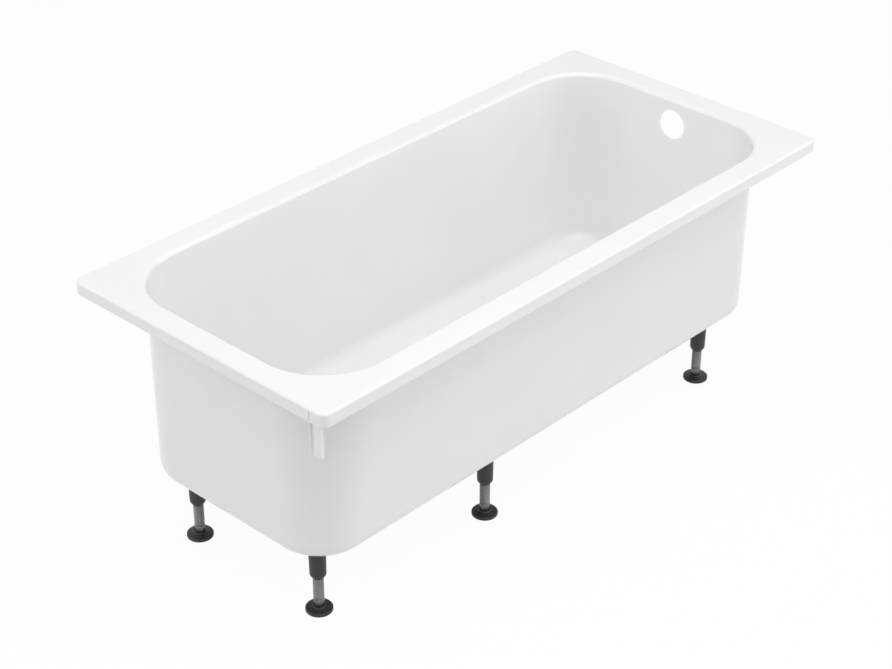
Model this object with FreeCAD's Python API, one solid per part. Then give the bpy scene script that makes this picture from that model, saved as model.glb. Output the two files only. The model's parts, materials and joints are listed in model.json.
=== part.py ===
"""Rectangular enamelled steel bath on six screw-adjustable feet.

Millimetres, +Z up.  X runs along the bath, with the overflow at the +X end,
and Y runs from the front rim (-Y) to the back rim (+Y).  The origin is on the
floor, under the middle of the rim, where the feet stand.
"""

import FreeCAD
import Part
import os
from math import asin, cos, radians, sin, tan

Vector = FreeCAD.Vector

# Rim and its turned-down skirt
RIM_LENGTH = 1500.0
RIM_WIDTH = 700.0
SHEET = 2.5
RIM_CORNER_RADIUS = 18.0
RIM_EDGE_RADIUS = 5.5
SKIRT_HEIGHT = 28.0
SLIT_WIDTH = 1.6
SLIT_FROM_FRONT = 38.0

# Ledge between the rim's outer edge and the basin wall, and the lip between
LEFT_LEDGE = 56.0
RIGHT_LEDGE = 60.0
SIDE_LEDGE = 59.0
LIP_RADIUS = 9.0

# Basin: wall slopes in degrees, depth over the left rail, fall from there to the right end
LEFT_SLOPE_ANGLE = 0.3
RIGHT_SLOPE_ANGLE = 2.0
SIDE_SLOPE_ANGLE = 4.2
BASIN_DEPTH = 430.0
FLOOR_FALL = 4.0
LEFT_TOP_RADIUS = 148.0
LEFT_FLOOR_RADIUS = 100.0
RIGHT_TOP_RADIUS = 144.0
RIGHT_FLOOR_RADIUS = 70.0
FLOOR_EDGE_RADIUS = 30.0

# Overflow hole in the right end wall, waste hole in a shallow dish in the floor
OVERFLOW_RADIUS = 35.0
OVERFLOW_DEPTH = 62.0
WASTE_RADIUS = 26.0
WASTE_FROM_RIGHT = 260.0
DISH_TOP_RADIUS = 46.0
DISH_FLOOR_RADIUS = 38.0
DISH_DEPTH = 5.0

# Earthing lug, a channel strip welded under the rim beside the front left corner
LUG_WIDTH = 32.0
LUG_SHEET = 2.0
LUG_EDGE_DEPTH = 4.5
LUG_BEND_RADIUS = 1.5
LUG_LENGTH = 104.0
LUG_END_RADIUS = 9.0
LUG_FROM_FRONT = 28.0
LUG_FROM_LEFT = 11.0
LUG_EDGE_DROP = 8.0
LUG_HOLE_RADIUS = 3.25
LUG_HOLE_FROM_END = 9.0

# Feet: distance of each pair from an end of the rim, and of each foot from the rim's side
LEFT_FEET_FROM_LEFT = 130.0
MIDDLE_FEET_FROM_LEFT = 590.0
RIGHT_FEET_FROM_RIGHT = 185.0
LEFT_FEET_FROM_SIDE = 172.0
MIDDLE_FEET_FROM_SIDE = 148.0
RIGHT_FEET_FROM_SIDE = 148.0
SIDE_SIGNS = {"front": -1, "back": 1}

# Cross rail, an inverted channel bonded under the floor
STRIP_THICKNESS = 3.0
STRIP_MARGIN = 2.0
RAIL_SHEET = 2.0
RAIL_HEIGHT = 17.0
RAIL_BEND_RADIUS = 3.5
RAIL_END_MARGIN = 8.0

# Socket, moulded plastic, riveted into the rail
SOCKET_LENGTH = 81.3
SOCKET_TOP_RADIUS = 18.0
SOCKET_BOTTOM_RADIUS = 16.8
SOCKET_NOSE_RADIUS = 12.0
SOCKET_NOSE_HEIGHT = 8.0
SOCKET_NOSE_ROUNDING = 5.0
SOCKET_HEAD = 13.0
SOCKET_CLEARANCE = 0.3
RIVET_RADIUS = 3.0
RIVET_HEAD_RADIUS = 5.5
RIVET_HEAD_HEIGHT = 2.6
RIVET_DROP = 9.0
RIVET_CLEARANCE = 0.1

# Threaded bush moulded into the socket, and the rod that turns in it
ROD_RADIUS = 11.0
ROD_CLEARANCE = 0.3
ROD_FREE_CLEARANCE = 1.5
ROD_SHOWN = 54.0
ROD_REACH = 14.0
ROD_CHAMFER = 1.5
THREAD_CLEARANCE = 0.05
HEX_ACROSS_FLATS = 20.0
HEX_HEIGHT = 15.0
HEX_CHAMFER = 1.2
HEX_TURN_ANGLES = {"left": 43.0, "middle": 43.0, "right": 13.0}
BUSH_RADIUS = 14.3
BUSH_LENGTH = 20.0
BUSH_CHAMFER = 0.8
BUSH_CLEARANCE = 0.05

# Swivelling pad on the rod's lower end
PAD_RADIUS = 28.0
PAD_EDGE_HEIGHT = 7.5
PAD_BEVEL = 1.6
PAD_CROWN = 1.6
COLLAR_RADIUS = 13.5
COLLAR_TOP_RADIUS = 12.0
COLLAR_HEIGHT = 12.0
PIN_RADIUS = 6.0
PIN_LENGTH = 6.5
PIN_END_CLEARANCE = 0.5
PIN_CHAMFER = 0.8
SWIVEL_PLAY = 0.2

# Cuts run past the faces they open by this much
OVERRUN = 20.0
TOLERANCE = 0.001

COLLAR_TO_ROD = COLLAR_HEIGHT + SWIVEL_PLAY
THREAD_LOW = COLLAR_TO_ROD + HEX_HEIGHT
SOCKET_LOW = THREAD_LOW + ROD_SHOWN
ROD_TOP = SOCKET_LOW + SOCKET_NOSE_HEIGHT + BUSH_LENGTH + ROD_REACH
UNDERSIDE = SOCKET_LOW + SOCKET_LENGTH + RAIL_SHEET + STRIP_THICKNESS
RIM_HEIGHT = UNDERSIDE + SHEET + BASIN_DEPTH
RIM_UNDERSIDE = RIM_HEIGHT - SHEET
SKIRT_BOTTOM = RIM_HEIGHT - SKIRT_HEIGHT
RIM_LEFT = -RIM_LENGTH / 2
RIM_RIGHT = RIM_LENGTH / 2
RIM_FRONT = -RIM_WIDTH / 2
BASIN_LEFT = RIM_LEFT + LEFT_LEDGE
BASIN_RIGHT = RIM_RIGHT - RIGHT_LEDGE
BASIN_HALF_WIDTH = RIM_WIDTH / 2 - SIDE_LEDGE
RAIL_HALF_WIDTH = SOCKET_TOP_RADIUS + SOCKET_CLEARANCE + RAIL_SHEET
FOOT_X = {
    "left": RIM_LEFT + LEFT_FEET_FROM_LEFT,
    "middle": RIM_LEFT + MIDDLE_FEET_FROM_LEFT,
    "right": RIM_RIGHT - RIGHT_FEET_FROM_RIGHT,
}
FOOT_Y = {
    "left": RIM_WIDTH / 2 - LEFT_FEET_FROM_SIDE,
    "middle": RIM_WIDTH / 2 - MIDDLE_FEET_FROM_SIDE,
    "right": RIM_WIDTH / 2 - RIGHT_FEET_FROM_SIDE,
}
FALL_START = FOOT_X["left"] + RAIL_HALF_WIDTH


def box(x_low, x_high, y_low, y_high, z_low, z_high):
    """Block between two corners."""
    size = (x_high - x_low, y_high - y_low, z_high - z_low)
    return Part.makeBox(*size, Vector(x_low, y_low, z_low))


def polygon_face(points):
    """Flat face with straight sides."""
    return Part.Face(Part.makePolygon(points + points[:1]))


def revolved(profile, x, y):
    """Solid turned from (radius, height) points about an upright axis."""
    face = polygon_face([Vector(0, r, z) for r, z in profile])
    solid = face.revolve(Vector(0, 0, 0), Vector(0, 0, 1), 360)
    solid.translate(Vector(x, y, 0))
    return solid


def rounded_outline(x_low, x_high, y_low, y_high, left_radius, right_radius, z):
    """Closed outline of a rectangle whose two ends have their own corner radii."""
    half_diagonal = cos(radians(45))
    corners = (
        (x_high, y_high, -1, -1, right_radius),
        (x_low, y_high, 1, -1, left_radius),
        (x_low, y_low, 1, 1, left_radius),
        (x_high, y_low, -1, 1, right_radius),
    )
    arcs = []
    for number, (x, y, x_in, y_in, r) in enumerate(corners):
        centre = Vector(x + x_in * r, y + y_in * r, z)
        on_end = Vector(x, y + y_in * r, z)
        on_side = Vector(x + x_in * r, y, z)
        middle = centre - Vector(x_in * r * half_diagonal, y_in * r * half_diagonal, 0)
        first, last = (on_end, on_side) if number % 2 == 0 else (on_side, on_end)
        arcs.append((first, middle, last))
    edges = []
    for number, (first, middle, last) in enumerate(arcs):
        edges.append(Part.Arc(first, middle, last).toShape())
        following = arcs[(number + 1) % len(arcs)][0]
        edges.append(Part.LineSegment(last, following).toShape())
    return Part.Wire(edges)


def edges_where(shape, test):
    """Edges of a shape all of whose ends pass a test."""
    return [edge for edge in shape.Edges if all(test(v.Point) for v in edge.Vertexes)]


def floor_height(x, below):
    """Height of the sloping basin floor, or of a surface the given distance below it."""
    fall_share = (x - FALL_START) / (BASIN_RIGHT - FALL_START)
    return RIM_HEIGHT - BASIN_DEPTH - FLOOR_FALL * fall_share - below


def basin_outline(z, growth):
    """Outline of the basin at a height, grown outwards by the sheet for its outer face."""
    depth = RIM_HEIGHT - z
    depth_share = depth / BASIN_DEPTH
    left = BASIN_LEFT + depth * tan(radians(LEFT_SLOPE_ANGLE))
    right = BASIN_RIGHT - depth * tan(radians(RIGHT_SLOPE_ANGLE))
    half_width = BASIN_HALF_WIDTH - depth * tan(radians(SIDE_SLOPE_ANGLE)) + growth
    left_radius = LEFT_TOP_RADIUS + (LEFT_FLOOR_RADIUS - LEFT_TOP_RADIUS) * depth_share
    right_radius = RIGHT_TOP_RADIUS + (RIGHT_FLOOR_RADIUS - RIGHT_TOP_RADIUS) * depth_share
    return rounded_outline(
        left - growth, right + growth, -half_width, half_width,
        left_radius + growth, right_radius + growth, z)


def basin_solid(growth, top):
    """Body of the basin from a height down to its rounded floor."""
    low = floor_height(BASIN_RIGHT, growth) - OVERRUN
    walls = Part.makeLoft([basin_outline(top, growth), basin_outline(low, growth)], True, True)
    under_floor = polygon_face([
        Vector(RIM_LEFT, 0, floor_height(RIM_LEFT, growth)),
        Vector(RIM_RIGHT, 0, floor_height(RIM_RIGHT, growth)),
        Vector(RIM_RIGHT, 0, low - OVERRUN),
        Vector(RIM_LEFT, 0, low - OVERRUN),
    ])
    under_floor.translate(Vector(0, RIM_FRONT, 0))
    body = walls.cut(under_floor.extrude(Vector(0, RIM_WIDTH, 0)))
    floor_edges = edges_where(
        body, lambda p: abs(p.z - floor_height(p.x, growth)) < TOLERANCE)
    return body.makeFillet(FLOOR_EDGE_RADIUS + growth, floor_edges)


def rim_block(inset, low, high):
    """Rounded slab of the rim's outline, set in by a distance, with its top edge rounded."""
    outline = rounded_outline(
        RIM_LEFT + inset, RIM_RIGHT - inset, RIM_FRONT + inset, -RIM_FRONT - inset,
        RIM_CORNER_RADIUS - inset, RIM_CORNER_RADIUS - inset, low)
    slab = Part.Face(outline).extrude(Vector(0, 0, high - low))
    top_edges = edges_where(slab, lambda p: abs(p.z - high) < TOLERANCE)
    return slab.makeFillet(RIM_EDGE_RADIUS - inset, top_edges)


def waste_dish(growth):
    """Shallow dish round the waste hole, or its outer face when grown by the sheet."""
    x = BASIN_RIGHT - WASTE_FROM_RIGHT
    top = floor_height(x, 0)
    low = top - DISH_DEPTH - growth
    return revolved([
        (0, low),
        (DISH_FLOOR_RADIUS + growth, low),
        (DISH_TOP_RADIUS + growth, top - growth),
        (DISH_TOP_RADIUS + growth, top),
        (0, top),
    ], x, 0)


def overflow_cutter():
    """Round cutter square to the right end wall."""
    slope = radians(RIGHT_SLOPE_ANGLE)
    outwards = Vector(cos(slope), 0, -sin(slope))
    centre = Vector(BASIN_RIGHT - OVERFLOW_DEPTH * tan(slope), 0, RIM_HEIGHT - OVERFLOW_DEPTH)
    return Part.makeCylinder(OVERFLOW_RADIUS, OVERRUN * 2, centre - outwards * OVERRUN, outwards)


def skirt_slit():
    """Narrow slit through the left skirt beside the front corner."""
    middle = RIM_FRONT + SLIT_FROM_FRONT
    return box(
        RIM_LEFT - SHEET, RIM_LEFT + SHEET * 2,
        middle - SLIT_WIDTH / 2, middle + SLIT_WIDTH / 2,
        SKIRT_BOTTOM - SHEET, RIM_HEIGHT - RIM_EDGE_RADIUS)


def bath_shell():
    """One pressing: rim with turned-down skirt, rolled lip, basin, overflow and waste."""
    skirted_rim = rim_block(0, SKIRT_BOTTOM, RIM_HEIGHT).cut(
        rim_block(SHEET, SKIRT_BOTTOM - OVERRUN, RIM_UNDERSIDE))
    shell = skirted_rim.fuse(basin_solid(SHEET, RIM_HEIGHT - SHEET / 2)).removeSplitter()
    under_lip = edges_where(
        shell, lambda p: abs(p.z - RIM_UNDERSIDE) < TOLERANCE
        and abs(p.y) < RIM_WIDTH / 2 - SIDE_LEDGE / 2
        and RIM_LEFT + LEFT_LEDGE / 2 < p.x < RIM_RIGHT - RIGHT_LEDGE / 2)
    shell = shell.makeFillet(LIP_RADIUS - SHEET, under_lip)
    shell = shell.cut(basin_solid(0, RIM_HEIGHT + OVERRUN))
    lip = edges_where(
        shell, lambda p: abs(p.z - RIM_HEIGHT) < TOLERANCE
        and abs(p.y) < RIM_WIDTH / 2 - SIDE_LEDGE / 2
        and RIM_LEFT + LEFT_LEDGE / 2 < p.x < RIM_RIGHT - RIGHT_LEDGE / 2)
    shell = shell.makeFillet(LIP_RADIUS, lip)
    waste_axis = Vector(BASIN_RIGHT - WASTE_FROM_RIGHT, 0, 0)
    shell = shell.fuse(waste_dish(SHEET)).cut(waste_dish(0))
    shell = shell.cut(Part.makeCylinder(WASTE_RADIUS, RIM_HEIGHT, waste_axis))
    return shell.cut(overflow_cutter()).cut(skirt_slit())


def earthing_lug():
    """Channel strip hanging under the rim, with a screw hole near its rounded end."""
    y_low = RIM_FRONT + LUG_FROM_FRONT - LUG_WIDTH / 2
    y_high = y_low + LUG_WIDTH
    back = RIM_LEFT + LUG_FROM_LEFT
    face = back - LUG_SHEET
    edge = face - LUG_EDGE_DEPTH
    low = RIM_HEIGHT - LUG_LENGTH
    strip = box(edge, back, y_low, y_high, low, RIM_UNDERSIDE)
    bends = edges_where(strip, lambda p: abs(p.x - back) < TOLERANCE)
    upright = [e for e in bends if abs(e.Vertexes[0].Z - e.Vertexes[1].Z) > LUG_SHEET]
    strip = strip.makeFillet(LUG_BEND_RADIUS, upright)
    strip = strip.cut(box(
        edge - OVERRUN, face, y_low + LUG_SHEET, y_high - LUG_SHEET, low - OVERRUN, RIM_HEIGHT))
    strip = strip.cut(box(
        edge - OVERRUN, face, y_low - OVERRUN, y_high + OVERRUN,
        RIM_UNDERSIDE - LUG_EDGE_DROP, RIM_HEIGHT))
    tongue = box(edge, back, y_low, y_high, low, RIM_HEIGHT)
    ends = [e for e in tongue.Edges
            if all(abs(v.Z - low) < TOLERANCE for v in e.Vertexes)
            and abs(e.Vertexes[0].X - e.Vertexes[1].X) > TOLERANCE]
    strip = strip.common(tongue.makeFillet(LUG_END_RADIUS, ends))
    hole = Vector(edge - OVERRUN, (y_low + y_high) / 2, low + LUG_HOLE_FROM_END)
    return strip.cut(Part.makeCylinder(LUG_HOLE_RADIUS, OVERRUN * 2, hole, Vector(1, 0, 0)))


class FootPair:
    """Places of one cross rail and of the two feet under it."""

    def __init__(self, name):
        self.name = name
        self.x = FOOT_X[name]
        self.y = FOOT_Y[name]
        self.half_length = self.y + RAIL_END_MARGIN
        self.strip_top = floor_height(self.x + RAIL_HALF_WIDTH, SHEET)
        self.rail_top = self.strip_top - STRIP_THICKNESS
        self.socket_top = self.rail_top - RAIL_SHEET
        self.socket_bottom = self.socket_top - SOCKET_LENGTH
        self.rivet_height = self.socket_top - RIVET_DROP


def bonding_strip(pair):
    """Adhesive strip between the rail and the underside of the bath."""
    half_width = RAIL_HALF_WIDTH - STRIP_MARGIN
    half_length = pair.half_length - STRIP_MARGIN
    return box(
        pair.x - half_width, pair.x + half_width, -half_length, half_length,
        pair.rail_top, pair.strip_top)


def rivet_cutter(pair, y, clearance):
    """Crosswise cutter for one rivet's shank."""
    start = Vector(pair.x - RAIL_HALF_WIDTH - OVERRUN, y, pair.rivet_height)
    length = (RAIL_HALF_WIDTH + OVERRUN) * 2
    return Part.makeCylinder(RIVET_RADIUS + clearance, length, start, Vector(1, 0, 0))


def foot_rail(pair):
    """Inverted channel across the underside, with rivet holes at its two feet."""
    low = pair.rail_top - RAIL_HEIGHT
    half = RAIL_HALF_WIDTH
    rail = box(
        pair.x - half, pair.x + half, -pair.half_length, pair.half_length, low, pair.rail_top)
    bends = edges_where(rail, lambda p: abs(p.z - pair.rail_top) < TOLERANCE)
    along = [e for e in bends if e.Length > RAIL_HALF_WIDTH * 2 + TOLERANCE]
    rail = rail.makeFillet(RAIL_BEND_RADIUS, along)
    inner = half - RAIL_SHEET
    hollow = box(
        pair.x - inner, pair.x + inner,
        -pair.half_length - OVERRUN, pair.half_length + OVERRUN,
        low - OVERRUN, pair.rail_top - RAIL_SHEET)
    rail = rail.cut(hollow)
    for sign in SIDE_SIGNS.values():
        rail = rail.cut(rivet_cutter(pair, sign * pair.y, RIVET_CLEARANCE))
    return rail


def foot_socket(pair, y):
    """Tapered moulded sleeve with a pocket for the bush and a bore for the rod's top."""
    low = pair.socket_bottom
    top = pair.socket_top
    bush_low = low + SOCKET_NOSE_HEIGHT
    bush_top = bush_low + BUSH_LENGTH
    rod_hole = ROD_RADIUS + ROD_CLEARANCE
    pocket = BUSH_RADIUS + BUSH_CLEARANCE
    free_bore = ROD_RADIUS + ROD_FREE_CLEARANCE
    bore_top = top - SOCKET_HEAD
    sleeve = revolved([
        (rod_hole, low),
        (SOCKET_NOSE_RADIUS, low),
        (SOCKET_BOTTOM_RADIUS, bush_low),
        (SOCKET_TOP_RADIUS, top),
        (0, top),
        (0, bore_top),
        (free_bore, bore_top),
        (free_bore, bush_top),
        (pocket, bush_top),
        (pocket, bush_low),
        (rod_hole, bush_low),
    ], pair.x, y)
    nose = edges_where(
        sleeve, lambda p: abs(p.z - bush_low) < TOLERANCE
        and abs(p.distanceToPoint(Vector(pair.x, y, p.z)) - SOCKET_BOTTOM_RADIUS) < TOLERANCE)
    sleeve = sleeve.makeFillet(SOCKET_NOSE_ROUNDING, nose)
    return sleeve.cut(rivet_cutter(pair, y, RIVET_CLEARANCE))


def socket_rivet(pair, y):
    """Rivet through the rail's two flanges and the socket's head, with a domed head each end."""
    seat = RAIL_HALF_WIDTH
    crown = seat + RIVET_HEAD_HEIGHT
    dome_radius = (RIVET_HEAD_RADIUS ** 2 + RIVET_HEAD_HEIGHT ** 2) / (2 * RIVET_HEAD_HEIGHT)
    half_angle = asin(RIVET_HEAD_RADIUS / dome_radius) / 2
    on_dome = (
        crown - dome_radius * (1 - cos(half_angle)),
        dome_radius * sin(half_angle),
    )
    right_end = Vector(crown, 0, 0)
    right_edge = Vector(seat, 0, RIVET_HEAD_RADIUS)
    left_end = Vector(-crown, 0, 0)
    left_edge = Vector(-seat, 0, RIVET_HEAD_RADIUS)
    right_shank = Vector(seat, 0, RIVET_RADIUS)
    left_shank = Vector(-seat, 0, RIVET_RADIUS)
    outline = Part.Wire([
        Part.LineSegment(left_end, right_end).toShape(),
        Part.Arc(right_end, Vector(on_dome[0], 0, on_dome[1]), right_edge).toShape(),
        Part.LineSegment(right_edge, right_shank).toShape(),
        Part.LineSegment(right_shank, left_shank).toShape(),
        Part.LineSegment(left_shank, left_edge).toShape(),
        Part.Arc(left_edge, Vector(-on_dome[0], 0, on_dome[1]), left_end).toShape(),
    ])
    rivet = Part.Face(outline).revolve(Vector(0, 0, 0), Vector(1, 0, 0), 360)
    rivet.translate(Vector(pair.x, y, pair.rivet_height))
    return rivet


def threaded_bush(pair, y):
    """Metal bush in the socket, in whose thread the rod turns."""
    low = pair.socket_bottom + SOCKET_NOSE_HEIGHT
    top = low + BUSH_LENGTH
    bore = ROD_RADIUS + THREAD_CLEARANCE
    return revolved([
        (bore, low),
        (BUSH_RADIUS - BUSH_CHAMFER, low),
        (BUSH_RADIUS, low + BUSH_CHAMFER),
        (BUSH_RADIUS, top - BUSH_CHAMFER),
        (BUSH_RADIUS - BUSH_CHAMFER, top),
        (bore, top),
    ], pair.x, y)


def hexagon_collar(pair, y, low):
    """Six-sided spanner collar with its corners taken off at both ends."""
    corner = HEX_ACROSS_FLATS / 2 / cos(radians(30))
    points = []
    for number in range(6):
        angle = radians(HEX_TURN_ANGLES[pair.name] + number * 60)
        points.append(Vector(pair.x + corner * cos(angle), y + corner * sin(angle), low))
    prism = polygon_face(points).extrude(Vector(0, 0, HEX_HEIGHT))
    envelope = revolved([
        (0, low),
        (corner - HEX_CHAMFER, low),
        (corner, low + HEX_CHAMFER / 2),
        (corner, low + HEX_HEIGHT - HEX_CHAMFER / 2),
        (corner - HEX_CHAMFER, low + HEX_HEIGHT),
        (0, low + HEX_HEIGHT),
    ], pair.x, y)
    return prism.common(envelope)


def foot_rod(pair, y):
    """Screw rod with a spanner collar and a turned pin at its foot."""
    pin_low = COLLAR_TO_ROD - PIN_LENGTH
    turned = revolved([
        (0, pin_low),
        (PIN_RADIUS - PIN_CHAMFER, pin_low),
        (PIN_RADIUS, pin_low + PIN_CHAMFER),
        (PIN_RADIUS, THREAD_LOW),
        (ROD_RADIUS, THREAD_LOW),
        (ROD_RADIUS, ROD_TOP - ROD_CHAMFER),
        (ROD_RADIUS - ROD_CHAMFER, ROD_TOP),
        (0, ROD_TOP),
    ], pair.x, y)
    return turned.fuse(hexagon_collar(pair, y, COLLAR_TO_ROD)).removeSplitter()


def foot_pad(pair, y):
    """Round pad with a bevelled edge, a low crown and a collar round the rod's pin."""
    pin_hole = PIN_RADIUS + THREAD_CLEARANCE
    hole_bottom = COLLAR_TO_ROD - PIN_LENGTH - PIN_END_CLEARANCE
    return revolved([
        (0, 0),
        (PAD_RADIUS - PAD_BEVEL / 2, 0),
        (PAD_RADIUS, PAD_BEVEL / 2),
        (PAD_RADIUS, PAD_EDGE_HEIGHT - PAD_BEVEL),
        (PAD_RADIUS - PAD_BEVEL, PAD_EDGE_HEIGHT),
        (COLLAR_RADIUS, PAD_EDGE_HEIGHT + PAD_CROWN),
        (COLLAR_TOP_RADIUS, COLLAR_HEIGHT),
        (pin_hole, COLLAR_HEIGHT),
        (pin_hole, hole_bottom),
        (0, hole_bottom),
    ], pair.x, y)


def build():
    """Every piece by its name."""
    pieces = {"bath_shell": bath_shell(), "earthing_lug": earthing_lug()}
    for name in FOOT_X:
        pair = FootPair(name)
        pieces[f"bonding_strip_{name}"] = bonding_strip(pair)
        pieces[f"foot_rail_{name}"] = foot_rail(pair)
        for side, sign in SIDE_SIGNS.items():
            y = sign * pair.y
            for make in (foot_socket, socket_rivet, threaded_bush, foot_rod, foot_pad):
                pieces[f"{make.__name__}_{side}_{name}"] = make(pair, y)
    return pieces


os.makedirs("parts", exist_ok=True)
for node, shape in build().items():
    shape.exportStep(f"parts/{node}.step")
    print(node, "valid", shape.isValid(), "solids", len(shape.Solids), round(shape.Volume))
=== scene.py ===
"""Dresses the rectangular enamelled bath, threads its feet, and sets it in a plain studio."""
import json
import logging
from dataclasses import dataclass
from enum import Enum
from math import atan2, cos, pi, radians, sin, tan
from typing import Any

import bmesh
import bpy
from mathutils import Matrix, Vector
from mathutils.kdtree import KDTree


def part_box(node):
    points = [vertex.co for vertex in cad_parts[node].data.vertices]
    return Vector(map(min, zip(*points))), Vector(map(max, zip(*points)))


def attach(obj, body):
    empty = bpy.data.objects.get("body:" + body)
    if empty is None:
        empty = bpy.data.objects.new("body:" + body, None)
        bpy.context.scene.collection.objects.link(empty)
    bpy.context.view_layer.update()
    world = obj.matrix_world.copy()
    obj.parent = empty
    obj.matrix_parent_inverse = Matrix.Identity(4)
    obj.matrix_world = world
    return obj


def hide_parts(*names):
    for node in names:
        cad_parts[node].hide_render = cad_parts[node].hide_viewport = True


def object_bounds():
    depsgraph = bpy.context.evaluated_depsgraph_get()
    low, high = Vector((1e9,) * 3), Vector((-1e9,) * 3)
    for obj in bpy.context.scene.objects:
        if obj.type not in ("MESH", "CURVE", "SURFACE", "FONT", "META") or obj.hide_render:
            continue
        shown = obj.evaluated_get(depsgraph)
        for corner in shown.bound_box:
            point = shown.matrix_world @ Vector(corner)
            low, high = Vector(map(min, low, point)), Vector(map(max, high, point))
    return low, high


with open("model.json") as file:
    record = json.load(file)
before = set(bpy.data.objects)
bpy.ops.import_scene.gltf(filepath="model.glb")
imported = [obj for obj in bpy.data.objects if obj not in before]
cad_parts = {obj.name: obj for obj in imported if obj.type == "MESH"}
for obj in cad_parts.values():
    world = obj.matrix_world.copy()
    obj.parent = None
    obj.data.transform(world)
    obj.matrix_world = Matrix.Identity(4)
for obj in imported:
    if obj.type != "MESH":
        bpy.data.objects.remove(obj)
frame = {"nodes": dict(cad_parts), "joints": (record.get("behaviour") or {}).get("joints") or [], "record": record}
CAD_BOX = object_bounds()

LOG = logging.getLogger("bath")
MM = 0.001
MERGE_DISTANCE = 0.001 * MM
SHARP_ANGLE = radians(32)
UP = Vector((0, 0, 1))
WHITE = "FFFFFF"
# The sRGB curve: a straight foot up to the knee, and a power above it
SRGB_KNEE, SRGB_FOOT, SRGB_OFFSET, SRGB_POWER = 0.04045, 12.92, 0.055, 2.4
# Octaves of noise in the slow drift and in the fine grain of every finish
DRIFT_DETAIL, GRAIN_DETAIL = 3.0, 2.0
# Rounded edges: faces across the rounding, and the profile of a circle
ROUNDING_STEPS, ROUND_PROFILE = 3, 0.5
HEXAGON_SIDES = 6


class Side(Enum):
    """Long side of the bath that a foot stands under."""

    FRONT = "front"
    BACK = "back"


class Station(Enum):
    """Cross rail that a foot hangs from."""

    LEFT = "left"
    MIDDLE = "middle"
    RIGHT = "right"


def linear(hex_colour: str) -> tuple[float, float, float, float]:
    """Turns an sRGB hex colour to linear light.

    Args:
        hex_colour: colour written as RRGGBB.

    Returns:
        Linear red, green, blue and an alpha of 1.
    """
    channels = [int(hex_colour[i:i + 2], 16) / 255 for i in (0, 2, 4)]
    red, green, blue = [c / SRGB_FOOT if c <= SRGB_KNEE
                        else ((c + SRGB_OFFSET) / (1 + SRGB_OFFSET)) ** SRGB_POWER for c in channels]
    return red, green, blue, 1.0


def add_node(tree: bpy.types.NodeTree, kind: str, settings: dict[str, Any] | None = None,
             **links: bpy.types.NodeSocket) -> bpy.types.Node:
    """Adds a node, sets it up and links its inputs.

    Args:
        tree: node tree that takes the node.
        kind: the node's type name.
        settings: node properties by name, or input values by socket name or number.
        **links: output sockets by the name of the input that each feeds, with _ for a space.

    Returns:
        The new node.
    """
    node = tree.nodes.new(kind)
    for name, value in (settings or {}).items():
        if isinstance(name, int) or name in node.inputs:
            node.inputs[name].default_value = value
        else:
            setattr(node, name, value)
    for name, socket in links.items():
        tree.links.new(socket, node.inputs[name.replace("_", " ")])
    return node


@dataclass(frozen=True)
class Finish:
    """What all the finishes share: a name, a colour drift, a roughness range and a relief."""

    name: str
    light: str
    dark: str
    smooth: float
    rough: float
    drift_mm: float
    relief_mm: float
    relief_depth_mm: float

    def material(self) -> bpy.types.Material:
        """Makes the material, once for each name.

        Returns:
            The material that wears this finish.
        """
        made = bpy.data.materials.get(self.name)
        if made is None:
            made = bpy.data.materials.new(self.name)
            made.use_nodes = True
            tree = made.node_tree
            tree.nodes.clear()
            shader = self.surface(tree)
            add_node(tree, "ShaderNodeOutputMaterial", Surface=shader.outputs["BSDF"])
        return made

    def surface(self, tree: bpy.types.NodeTree) -> bpy.types.Node:
        """Wires colour, roughness and relief to a principled shader.

        Args:
            tree: the material's node tree.

        Returns:
            The shader node.
        """
        place = add_node(tree, "ShaderNodeTexCoord").outputs["Object"]
        drift = self.pattern(tree, place)
        colour = add_node(tree, "ShaderNodeValToRGB", Fac=drift)
        colour.color_ramp.elements[0].color = linear(self.dark)
        colour.color_ramp.elements[1].color = linear(self.light)
        gloss = add_node(tree, "ShaderNodeMapRange", {"To Min": self.smooth, "To Max": self.rough},
                         Value=drift)
        grain = add_node(tree, "ShaderNodeTexNoise",
                         {"Scale": 1 / (self.relief_mm * MM), "Detail": GRAIN_DETAIL}, Vector=place)
        relief = add_node(tree, "ShaderNodeBump", {"Strength": 1.0, "Distance": self.relief_depth_mm * MM},
                          Height=grain.outputs["Fac"])
        return add_node(tree, "ShaderNodeBsdfPrincipled", self.constants(),
                        Base_Color=colour.outputs["Color"], Roughness=gloss.outputs["Result"],
                        Normal=relief.outputs["Normal"])

    def pattern(self, tree: bpy.types.NodeTree, place: bpy.types.NodeSocket) -> bpy.types.NodeSocket:
        """Adds the pattern that colour and roughness follow: a slow cloudy drift.

        Args:
            tree: the material's node tree.
            place: socket of object coordinates.

        Returns:
            A socket from 0 to 1.
        """
        cloud = add_node(tree, "ShaderNodeTexNoise",
                         {"Scale": 1 / (self.drift_mm * MM), "Detail": DRIFT_DETAIL}, Vector=place)
        return cloud.outputs["Fac"]

    def constants(self) -> dict[str, Any]:
        """Values of the shader that are the same all over."""
        return {}


@dataclass(frozen=True)
class Dielectric(Finish):
    """Finish of a glaze, plastic or rubber."""

    ior: float

    def constants(self) -> dict[str, Any]:
        """Values of the shader that are the same all over."""
        return {"IOR": self.ior}


@dataclass(frozen=True)
class Metal(Finish):
    """Finish of bare or plated metal."""

    def constants(self) -> dict[str, Any]:
        """Values of the shader that are the same all over."""
        return {"Metallic": 1.0}


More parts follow.
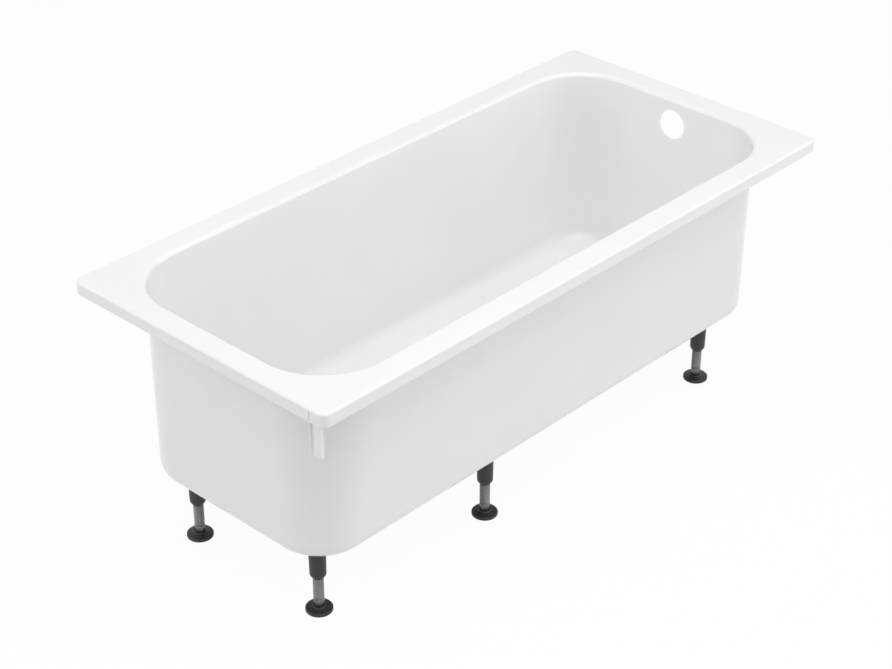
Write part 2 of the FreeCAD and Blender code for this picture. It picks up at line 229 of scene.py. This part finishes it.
@dataclass(frozen=True)
class Spangle(Metal):
    """Finish of hot-dipped zinc, whose crystals each have their own grey."""

    def pattern(self, tree: bpy.types.NodeTree, place: bpy.types.NodeSocket) -> bpy.types.NodeSocket:
        """Adds the zinc's crystals.

        Args:
            tree: the material's node tree.
            place: socket of object coordinates.

        Returns:
            A socket from 0 to 1, one level for each crystal.
        """
        crystals = add_node(tree, "ShaderNodeTexVoronoi", {"Scale": 1 / (self.drift_mm * MM)}, Vector=place)
        level = add_node(tree, "ShaderNodeSeparateColor", Color=crystals.outputs["Color"])
        return level.outputs["Red"]


@dataclass(frozen=True)
class FootShadedMetal(Metal):
    """Finish of plated metal darkened towards the floor, as painted shade round the rod's foot."""

    shade_below_mm: float
    unshaded_above_mm: float

    def pattern(self, tree: bpy.types.NodeTree, place: bpy.types.NodeSocket) -> bpy.types.NodeSocket:
        """Adds the plating's drift, which fades to the dark end towards the floor as painted shade.

        Args:
            tree: the material's node tree.
            place: socket of object coordinates.

        Returns:
            A socket from 0 to 1.
        """
        height = add_node(tree, "ShaderNodeSeparateXYZ", Vector=place).outputs["Z"]
        # Painted shade: below this height the drift falls to the dark colour
        unshaded = add_node(tree, "ShaderNodeMapRange", {"From Min": self.shade_below_mm * MM,
                                                      "From Max": self.unshaded_above_mm * MM}, Value=height)
        shaded_drift = add_node(tree, "ShaderNodeMath", {"operation": "MULTIPLY"})
        tree.links.new(super().pattern(tree, place), shaded_drift.inputs[0])
        tree.links.new(unshaded.outputs["Result"], shaded_drift.inputs[1])
        return shaded_drift.outputs["Value"]


# Vitreous enamel fired on pressed steel: a clean glossy white, whose glaze lies in faint slow waves
ENAMEL = Dielectric("vitreous_enamel", light="F7F7F7", dark="F2F1F2", smooth=0.10, rough=0.16,
                    drift_mm=180, relief_mm=22, relief_depth_mm=0.12, ior=1.52)
# Hot-dip galvanised sheet: dull blue-grey with zinc crystals about a centimetre across
GALVANISED = Spangle("galvanised_sheet_steel", light="B9BCBE", dark="909498", smooth=0.34, rough=0.48,
                     drift_mm=10, relief_mm=2.5, relief_depth_mm=0.03)
# Zinc-plated turned steel: a soft pale shine
PLATED = Metal("zinc_plated_steel", light="B2B2AF", dark="94948F", smooth=0.30, rough=0.42,
               drift_mm=6, relief_mm=1.4, relief_depth_mm=0.02)
# Rolled and plated screw thread: mottled pale zinc, painted darker at the spanner hexagon near the floor as shade
THREAD = FootShadedMetal("zinc_plated_rolled_thread", light="C6C6C7", dark="6C6C6E", smooth=0.38, rough=0.52,
                  drift_mm=4, relief_mm=1.2, relief_depth_mm=0.02, shade_below_mm=24, unshaded_above_mm=34)
# Injection-moulded polypropylene: dark grey, its skin faintly clouded by the spark-eroded mould; the grain is
# drawn coarser than life, so that it shows
SOCKET = Dielectric("moulded_polypropylene_grey", light="312F30", dark="262526", smooth=0.42, rough=0.56,
                    drift_mm=14, relief_mm=1.1, relief_depth_mm=0.03, ior=1.49)
# Injection-moulded nylon: near black with a satin skin, grain drawn coarser than life
PAD = Dielectric("moulded_nylon_black", light="18181A", dark="0F0F10", smooth=0.44, rough=0.58,
                 drift_mm=14, relief_mm=1.1, relief_depth_mm=0.03, ior=1.53)
# Butyl strip: dead black and slightly lumpy where it was pressed on
BUTYL = Dielectric("butyl_strip", light="2A2A2B", dark="1C1C1D", smooth=0.75, rough=0.9,
                   drift_mm=8, relief_mm=4, relief_depth_mm=0.2, ior=1.51)


def dress(node: str, finish: Finish) -> None:
    """Gives a CAD node its finish.

    Args:
        node: name of the CAD node.
        finish: what it wears.
    """
    mesh = frame["nodes"][node].data
    mesh.materials.clear()
    mesh.materials.append(finish.material())
    LOG.info("dressed %s in %s", node, finish.name)


def seat_piece(piece: bpy.types.Object, node: str, body: str, finish: Finish) -> None:
    """Dresses a new piece and puts it in the place of a CAD node.

    Args:
        piece: the piece, modelled at its place.
        node: CAD node that the piece stands for.
        body: CAD body that the piece moves with.
        finish: what it wears.
    """
    piece.data.materials.clear()
    piece.data.materials.append(finish.material())
    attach(piece, body)
    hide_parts(node)
    LOG.info("built %s with %d faces", piece.name, len(piece.data.polygons))


def new_object(shape: bmesh.types.BMesh, name: str) -> bpy.types.Object:
    """Makes an object of a shape.

    Args:
        shape: the shape at its place, which is freed.
        name: name of the object.

    Returns:
        The object, linked to the scene.
    """
    mesh = bpy.data.meshes.new(name)
    shape.to_mesh(mesh)
    shape.free()
    made = bpy.data.objects.new(name, mesh)
    bpy.context.scene.collection.objects.link(made)
    return made


def apply_modifiers(piece: bpy.types.Object) -> None:
    """Keeps what a piece's modifiers make of it, and removes them.

    Args:
        piece: the piece.
    """
    made = piece.evaluated_get(bpy.context.evaluated_depsgraph_get())
    piece.data = bpy.data.meshes.new_from_object(made)
    piece.modifiers.clear()


def place_piece(shape: bmesh.types.BMesh, node: str, body: str, finish: Finish) -> None:
    """Makes a finished piece of a shape, in the place of a CAD node.

    Args:
        shape: the piece's shape at its place, which is freed.
        node: CAD node that the piece stands for.
        body: CAD body that the piece moves with.
        finish: what it wears.
    """
    bmesh.ops.remove_doubles(shape, verts=shape.verts, dist=MERGE_DISTANCE)
    bmesh.ops.recalc_face_normals(shape, faces=shape.faces)
    for face in shape.faces:
        face.smooth = True
    piece = new_object(shape, f"{node}_look")
    piece.data.set_sharp_from_angle(angle=SHARP_ANGLE)
    seat_piece(piece, node, body, finish)


def spin_profile(shape: bmesh.types.BMesh, profile: list[tuple[float, float]], axis_at: Vector,
                 steps: int) -> None:
    """Turns a profile about an upright axis.

    Args:
        shape: bmesh that takes the turned skin.
        profile: points of (radius, height), in metres.
        axis_at: where the axis stands.
        steps: faces round a full turn.
    """
    before = set(shape.verts)
    points = [shape.verts.new(axis_at + Vector((r, 0, z))) for r, z in profile]
    lines = [shape.edges.new(pair) for pair in zip(points, points[1:])]
    bmesh.ops.spin(shape, geom=points + lines, cent=axis_at, axis=UP, angle=2 * pi, steps=steps,
                   use_merge=True)
    made = [v for v in shape.verts if v not in before]
    bmesh.ops.remove_doubles(shape, verts=made, dist=MERGE_DISTANCE)


def round_edges(shape: bmesh.types.BMesh, edges: list[bmesh.types.BMEdge], width: float) -> None:
    """Rounds edges over.

    Args:
        shape: bmesh that has the edges.
        edges: which edges to round.
        width: how far the rounding reaches from each edge, in metres.
    """
    bmesh.ops.bevel(shape, geom=edges, offset=width, offset_type="OFFSET", segments=ROUNDING_STEPS,
                    profile=ROUND_PROFILE, affect="EDGES", material=-1)


@dataclass
class PressedShell:
    """The pressed bath, with the rounded dish of its waste, and its earthing lug; millimetres and degrees."""

    shell: str = "bath_shell"
    lug: str = "earthing_lug"
    dish_radius: float = 46.0
    dish_floor_radius: float = 38.0
    dish_depth: float = 5.0
    dish_rounding: float = 12.0
    # How far the cut keeps off the faces of the CAD's own dish, so that no two faces coincide
    dish_skim: float = 0.3
    # Angle and height at which the rounded edge leaves the floor, and how far the cut reaches above it
    dish_run_out: float = 3.0
    dish_run_out_height: float = 0.05
    dish_overrun: float = 2.0
    dish_arc_steps: int = 8
    dish_steps: int = 96
    # The floor is felt for this far from the waste on either side, from this far above it
    floor_probe: float = 80.0
    probe_height: float = 20.0
    # Cosines above which a face lies in the floor's plane, and above which two faces are the same one
    same_plane: float = 0.999999
    same_face: float = 0.9999

    def dish_profile(self) -> list[tuple[float, float]]:
        """Works out the half section of what the dish takes away, with its edge rounded into the floor.

        Returns:
            Points of (radius, height over the floor), from the dish's floor outwards and back over it.
        """
        slope = atan2(self.dish_depth, self.dish_radius - self.dish_floor_radius)
        run_out = radians(self.dish_run_out)
        rounding = self.dish_rounding
        edge = self.dish_radius + self.dish_skim + rounding * tan(slope / 2)
        low = self.dish_skim - self.dish_depth
        points = [(0.0, low), (self.dish_floor_radius + self.dish_skim * (1 + 1 / tan(slope)), low)]
        for step in range(self.dish_arc_steps + 1):
            angle = slope + (run_out - slope) * step / self.dish_arc_steps
            points.append((edge - rounding * sin(angle), rounding * (cos(angle) - 1)))
        radius, height = points[-1]
        rim = radius + (self.dish_run_out_height - height) / tan(run_out)
        return points + [(rim, self.dish_run_out_height), (rim, self.dish_overrun), (0.0, self.dish_overrun)]

    def dish_place(self) -> Matrix:
        """Finds where the floor lies round the waste.

        Returns:
            Place and tilt of the dish's axis on the floor.
        """
        waste = next(m for m in frame["record"]["mounts"] if m["name"] == "waste_hole")["pos_m"]
        shell = frame["nodes"][self.shell]
        above = Vector(waste) + UP * self.probe_height * MM
        reach = Vector((self.floor_probe * MM, 0, 0))
        left, right = [shell.ray_cast(start, -UP)[1] for start in (above - reach, above + reach)]
        run = right - left
        tilt = Matrix.Rotation(atan2(-run.z, run.x), 4, "Y")
        return Matrix.Translation((left + right) / 2) @ tilt

    def void(self, place: Matrix) -> bpy.types.Object:
        """Makes what the dish takes away.

        Args:
            place: place and tilt of the dish's axis on the floor.

        Returns:
            The void, as an object that is only needed for the cut.
        """
        shape = bmesh.new()
        spin_profile(shape, [(r * MM, z * MM) for r, z in self.dish_profile()], Vector(), self.dish_steps)
        bmesh.ops.recalc_face_normals(shape, faces=shape.faces)
        bmesh.ops.transform(shape, matrix=place, verts=shape.verts)
        for face in shape.faces:
            face.smooth = True
        return new_object(shape, "waste_dish_void")

    def pressed_corners(self) -> tuple[KDTree, list[list[tuple[Vector, Vector]]]]:
        """Reads the normals of the pressing.

        Returns:
            A tree of the CAD mesh's vertices, and for each vertex the pairs of face normal and corner normal.
        """
        source = frame["nodes"][self.shell].data
        tree = KDTree(len(source.vertices))
        for vertex in source.vertices:
            tree.insert(vertex.co, vertex.index)
        tree.balance()
        known: list[list[tuple[Vector, Vector]]] = [[] for _ in source.vertices]
        for face in source.polygons:
            for corner in face.loop_indices:
                pair = (face.normal.copy(), source.corner_normals[corner].vector.copy())
                known[source.loops[corner].vertex_index].append(pair)
        return tree, known

    def keep_normals(self, mesh: bpy.types.Mesh, floor_normal: Vector) -> None:
        """Gives a cut shell the normals of the pressing, and leaves the dish its own.

        Args:
            mesh: mesh of the cut shell.
            floor_normal: the floor's normal, which its cut faces keep.
        """
        tree, known = self.pressed_corners()
        # A corner whose normal stays zero keeps the one that Blender works out
        normals = [Vector() for _ in mesh.loops]
        for face in mesh.polygons:
            facing = face.normal.copy()
            flat = facing.dot(floor_normal) > self.same_plane
            for corner in face.loop_indices:
                place = mesh.vertices[mesh.loops[corner].vertex_index].co
                near = tree.find_range(place, 2 * MERGE_DISTANCE)
                found = [pair for _, index, _ in near for pair in known[index]]
                best = max(found, key=lambda pair: pair[0].dot(facing), default=None)
                if flat:
                    normals[corner] = floor_normal
                elif best and best[0].dot(facing) > self.same_face:
                    normals[corner] = best[1]
        mesh.normals_split_custom_set(normals)

    def build(self) -> None:
        """Builds the shell: the pressing with its waste dish cut to a rounded edge all round."""
        place = self.dish_place()
        void = self.void(place)
        shape = bmesh.new()
        shape.from_mesh(frame["nodes"][self.shell].data)
        bmesh.ops.remove_doubles(shape, verts=shape.verts, dist=MERGE_DISTANCE)
        piece = new_object(shape, f"{self.shell}_look")
        cut = piece.modifiers.new("waste_dish", "BOOLEAN")
        cut.operation = "DIFFERENCE"
        cut.solver = "EXACT"
        cut.object = void
        apply_modifiers(piece)
        bpy.data.objects.remove(void)
        piece.data.set_sharp_from_angle(angle=SHARP_ANGLE)
        self.keep_normals(piece.data, place.to_3x3() @ UP)
        seat_piece(piece, self.shell, "bath", ENAMEL)

    def dress(self) -> None:
        """Glazes the lug."""
        dress(self.lug, ENAMEL)


@dataclass
class CrossRail:
    """A channel under the floor and the strip that holds it there."""

    station: Station

    def dress(self) -> None:
        """Puts zinc on the rail and butyl on the strip."""
        dress(f"foot_rail_{self.station.value}", GALVANISED)
        dress(f"bonding_strip_{self.station.value}", BUTYL)


@dataclass
class ScrewFoot:
    """One screw foot: socket, rivet, bush, and the rod and pad that move; millimetres and degrees."""

    side: Side
    station: Station
    hexagon_turn: float
    rod_radius: float = 11.0
    thread_pitch: float = 2.5
    thread_depth: float = 1.53
    # Flats of the ISO metric thread, as shares of its pitch
    root_flat: float = 1 / 4
    crest_flat: float = 1 / 8
    # Turns that are wound below the thread's lower end, and cut off again
    lead_in_turns: int = 2
    turn_steps: int = 40
    neck_height: float = 2.0
    top_chamfer: float = 1.5
    hexagon_flats: float = 20.0
    hexagon_height: float = 15.0
    hexagon_bevel: float = 0.7
    pin_radius: float = 6.0
    pin_length: float = 6.5
    pin_chamfer: float = 0.8
    pad_radius: float = 28.0
    pad_edge: float = 7.5
    pad_chamfer: float = 1.6
    pad_crown: float = 1.6
    pad_rounding: float = 0.5
    pad_steps: int = 72
    collar_radius: float = 13.5
    collar_top_radius: float = 12.0
    collar_height: float = 12.0
    pin_hole_radius: float = 6.05
    pin_hole_floor: float = 5.2

    @property
    def place(self) -> str:
        """Name of the foot's place."""
        return f"{self.side.value}_{self.station.value}"

    def axis(self) -> Vector:
        """Where the foot's axis meets the ground, from the CAD pad."""
        low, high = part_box(f"foot_pad_{self.place}")
        return Vector(((low[0] + high[0]) / 2, (low[1] + high[1]) / 2, low[2]))

    def build(self) -> None:
        """Builds the rod and the pad."""
        self.rod()
        self.pad()

    def rod(self) -> None:
        """Builds the rod: a turned pin, a spanner hexagon, a neck and a rolled thread."""
        axis = self.axis()
        low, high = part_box(f"foot_rod_{self.place}")
        hexagon_low = low[2] - axis.z + self.pin_length * MM
        hexagon_high = hexagon_low + self.hexagon_height * MM
        top = high[2] - axis.z
        neck_top = hexagon_high + self.neck_height * MM
        shape = bmesh.new()
        self.thread(shape, axis, neck_top, top)
        root = (self.rod_radius - self.thread_depth) * MM
        spin_profile(shape, [(root, hexagon_high), (root, neck_top + self.thread_pitch * MM)], axis,
                     self.turn_steps)
        pin = self.pin_radius * MM
        chamfer = self.pin_chamfer * MM
        pin_low = hexagon_low - self.pin_length * MM
        spin_profile(shape, [(0, pin_low), (pin - chamfer, pin_low), (pin, pin_low + chamfer),
                             (pin, hexagon_low)], axis, self.turn_steps)
        self.hexagon(shape, axis, hexagon_low)
        place_piece(shape, f"foot_rod_{self.place}", f"rod_{self.place}", THREAD)

    def thread(self, shape: bmesh.types.BMesh, axis: Vector, low: float, high: float) -> None:
        """Winds a right-handed thread and cuts it square at both ends.

        Args:
            shape: bmesh that takes the thread.
            axis: where the foot's axis meets the ground.
            low: height of its lower end over the ground, in metres.
            high: height of its upper end.
        """
        pitch = self.thread_pitch * MM
        crest = self.rod_radius * MM
        root = crest - self.thread_depth * MM
        start = low - pitch * self.lead_in_turns
        root_half = pitch * self.root_flat / 2
        crest_half = pitch * self.crest_flat / 2
        tooth = [(root, 0.0), (root, root_half), (crest, pitch / 2 - crest_half),
                 (crest, pitch / 2 + crest_half), (root, pitch - root_half), (root, pitch)]
        points = [shape.verts.new(axis + Vector((r, 0, start + z))) for r, z in tooth]
        lines = [shape.edges.new(pair) for pair in zip(points, points[1:])]
        bmesh.ops.spin(shape, geom=points + lines, cent=axis, axis=UP, dvec=UP * (pitch / self.turn_steps),
                       angle=2 * pi, steps=self.turn_steps)
        wound = pitch
        while start + wound < high:
            again = bmesh.ops.duplicate(shape, geom=shape.verts[:] + shape.edges[:] + shape.faces[:])
            moved = [v for v in again["geom"] if isinstance(v, bmesh.types.BMVert)]
            bmesh.ops.translate(shape, verts=moved, vec=(0, 0, wound))
            wound *= 2
        bmesh.ops.remove_doubles(shape, verts=shape.verts, dist=MERGE_DISTANCE)
        for height, outwards in ((low, -1), (high, 1)):
            skin = shape.verts[:] + shape.edges[:] + shape.faces[:]
            cut = bmesh.ops.bisect_plane(shape, geom=skin, plane_co=axis + Vector((0, 0, height)),
                                         plane_no=(0, 0, outwards), clear_outer=True)
            rim = [e for e in cut["geom_cut"] if isinstance(e, bmesh.types.BMEdge)]
            bmesh.ops.holes_fill(shape, edges=rim)
        for vert in shape.verts:
            over = vert.co.z - axis.z - high + self.top_chamfer * MM
            reach = vert.co.xy - axis.xy
            if over > 0 and reach.length > crest - over:
                vert.co.xy = axis.xy + reach.normalized() * (crest - over)

    def hexagon(self, shape: bmesh.types.BMesh, axis: Vector, low: float) -> None:
        """Adds the spanner hexagon with softened edges.

        Args:
            shape: bmesh that takes it.
            axis: where the foot's axis meets the ground.
            low: height of its lower face over the ground, in metres.
        """
        depth = self.hexagon_height * MM
        corner = self.hexagon_flats / 2 / cos(pi / HEXAGON_SIDES) * MM
        spot = Matrix.Translation(axis + Vector((0, 0, low + depth / 2)))
        turn = Matrix.Rotation(radians(self.hexagon_turn), 4, "Z")
        prism = bmesh.ops.create_cone(shape, cap_ends=True, segments=HEXAGON_SIDES, radius1=corner,
                                      radius2=corner, depth=depth, matrix=spot @ turn)
        edges = {edge for vert in prism["verts"] for edge in vert.link_edges}
        round_edges(shape, list(edges), self.hexagon_bevel * MM)

    def pad(self) -> None:
        """Builds the pad: a low crowned disc with a rounded edge and a collar for the pin."""
        axis = self.axis()
        chamfer = self.pad_chamfer
        profile = [
            (0.0, 0.0),
            (self.pad_radius - chamfer / 2, 0.0),
            (self.pad_radius, chamfer / 2),
            (self.pad_radius, self.pad_edge - chamfer),
            (self.pad_radius - chamfer, self.pad_edge),
            (self.collar_radius, self.pad_edge + self.pad_crown),
            (self.collar_top_radius, self.collar_height),
            (self.pin_hole_radius, self.collar_height),
            (self.pin_hole_radius, self.pin_hole_floor),
            (0.0, self.pin_hole_floor),
        ]
        shape = bmesh.new()
        spin_profile(shape, [(r * MM, z * MM) for r, z in profile], axis, self.pad_steps)
        bmesh.ops.recalc_face_normals(shape, faces=shape.faces)
        hoops = [e for e in shape.edges if e.calc_face_angle(0.0) > SHARP_ANGLE]
        round_edges(shape, hoops, self.pad_rounding * MM)
        place_piece(shape, f"foot_pad_{self.place}", f"pad_{self.place}", PAD)

    def dress(self) -> None:
        """Puts the finishes on the pieces that stay with the bath."""
        dress(f"foot_socket_{self.place}", SOCKET)
        dress(f"threaded_bush_{self.place}", PLATED)
        dress(f"socket_rivet_{self.place}", PLATED)


@dataclass(frozen=True)
class SoftBox:
    """A large soft lamp, in metres and watts."""

    name: str
    place: tuple[float, float, float]
    aim: tuple[float, float, float]
    size: tuple[float, float]
    power: float

    def hang(self) -> None:
        """Hangs the lamp and points it."""
        light = bpy.data.lights.new(self.name, "AREA")
        light.shape = "RECTANGLE"
        light.size, light.size_y = self.size
        light.energy = self.power
        lamp = bpy.data.objects.new(self.name, light)
        lamp.location = self.place
        lamp.rotation_euler = (Vector(self.aim) - Vector(self.place)).to_track_quat("-Z", "Y").to_euler()
        bpy.context.scene.collection.objects.link(lamp)


SOFT_BOXES = (
    SoftBox("overhead_box", place=(0.0, 0.0, 3.2), aim=(0.0, 0.0, 0.0), size=(3.2, 2.6), power=20.1),
    SoftBox("front_high_box", place=(0.0, -1.3, 3.4), aim=(0.0, 0.1, 0.3), size=(3.4, 1.6), power=21.3),
    SoftBox("near_corner_box", place=(-2.0, -2.0, 3.8), aim=(0.0, 0.1, 0.3), size=(3.4, 3.4), power=38.0),
    SoftBox("left_end_panel", place=(-3.2, 2.0, 1.7), aim=(-0.75, 0.2, 0.4), size=(3.0, 2.6), power=33.0),
    SoftBox("front_panel", place=(2.4, -3.4, 1.7), aim=(0.5, -0.35, 0.4), size=(4.0, 2.6), power=46.2),
)


@dataclass
class Studio:
    """Pale floor, soft light and the photographer's camera; metres, degrees, and millimetres for the lens."""

    floor_size: float = 40.0
    floor_gap: float = 0.0005
    floor_colour: str = "E4E4E4"
    floor_glow: float = 0.96
    sky_level: float = 0.4
    camera_place: tuple[float, float, float] = (-2.875, -2.6395, 2.690)
    camera_pitch: float = 31.638
    camera_yaw: float = -46.805
    camera_lens: float = 86.42

    def floor(self) -> None:
        """Lays the floor under the feet's lowest reach."""
        reach = min(joint["range_m"][0] for joint in frame["joints"] if joint["type"] == "slide")
        level = CAD_BOX[0][2] + reach - self.floor_gap
        shape = bmesh.new()
        bmesh.ops.create_grid(shape, x_segments=1, y_segments=1, size=self.floor_size / 2,
                              matrix=Matrix.Translation((0.0, 0.0, level)))
        floor = new_object(shape, "studio_floor")
        floor.data.materials.append(self.floor_paint())

    def floor_paint(self) -> bpy.types.Material:
        """Mixes the floor's paint, nearly white to the camera but still shaded by the bath.

        Returns:
            The floor's material.
        """
        material = bpy.data.materials.new("studio_floor_paint")
        material.use_nodes = True
        tree = material.node_tree
        tree.nodes.clear()
        paint = add_node(tree, "ShaderNodeBsdfDiffuse", {"Color": linear(self.floor_colour)})
        glow = add_node(tree, "ShaderNodeEmission")
        share = add_node(tree, "ShaderNodeMapRange", {"To Max": self.floor_glow}, Value=self.seen(tree))
        mix = add_node(tree, "ShaderNodeMixShader", Fac=share.outputs["Result"])
        tree.links.new(paint.outputs["BSDF"], mix.inputs[1])
        tree.links.new(glow.outputs["Emission"], mix.inputs[2])
        add_node(tree, "ShaderNodeOutputMaterial", Surface=mix.outputs["Shader"])
        return material

    def seen(self, tree: bpy.types.NodeTree) -> bpy.types.NodeSocket:
        """Adds nodes for what the camera sees, directly or in gloss and glass.

        Args:
            tree: node tree that takes them.

        Returns:
            A socket that is 1 on those rays.
        """
        path = add_node(tree, "ShaderNodeLightPath")
        level = path.outputs["Is Camera Ray"]
        for kind in ("Is Glossy Ray", "Is Transmission Ray"):
            either = add_node(tree, "ShaderNodeMath", {"operation": "MAXIMUM"})
            tree.links.new(level, either.inputs[0])
            tree.links.new(path.outputs[kind], either.inputs[1])
            level = either.outputs["Value"]
        return level

    def sky(self) -> None:
        """Lights the room evenly and shows white behind the floor's edge."""
        world = bpy.data.worlds.new("studio_sky")
        world.use_nodes = True
        tree = world.node_tree
        tree.nodes.clear()
        level = add_node(tree, "ShaderNodeMapRange", {"To Min": self.sky_level}, Value=self.seen(tree))
        sky = add_node(tree, "ShaderNodeBackground", {"Color": linear(WHITE)},
                       Strength=level.outputs["Result"])
        add_node(tree, "ShaderNodeOutputWorld", Surface=sky.outputs["Background"])
        bpy.context.scene.world = world

    def camera(self) -> None:
        """Sets the camera where the photograph was taken from."""
        lens = bpy.data.cameras.new("photo_camera")
        lens.lens = self.camera_lens
        camera = bpy.data.objects.new("photo_camera", lens)
        camera.location = self.camera_place
        camera.rotation_euler = (radians(90 - self.camera_pitch), 0.0, radians(self.camera_yaw))
        bpy.context.scene.collection.objects.link(camera)
        bpy.context.scene.camera = camera

    def build(self) -> None:
        """Sets up the whole studio."""
        bpy.context.scene.view_settings.view_transform = "Standard"
        self.floor()
        self.sky()
        for box in SOFT_BOXES:
            box.hang()
        self.camera()


# How far the spanner hexagons under each rail are turned, in degrees
HEXAGON_TURNS = {Station.LEFT: 43.0, Station.MIDDLE: 43.0, Station.RIGHT: 13.0}


def main() -> None:
    """Builds and dresses the bath, then the studio."""
    logging.basicConfig(level=logging.INFO)
    bath = PressedShell()
    bath.build()
    bath.dress()
    for station in Station:
        CrossRail(station).dress()
        for side in Side:
            foot = ScrewFoot(side, station, HEXAGON_TURNS[station])
            foot.build()
            foot.dress()
    Studio().build()


if __name__ == "__main__":
    main()
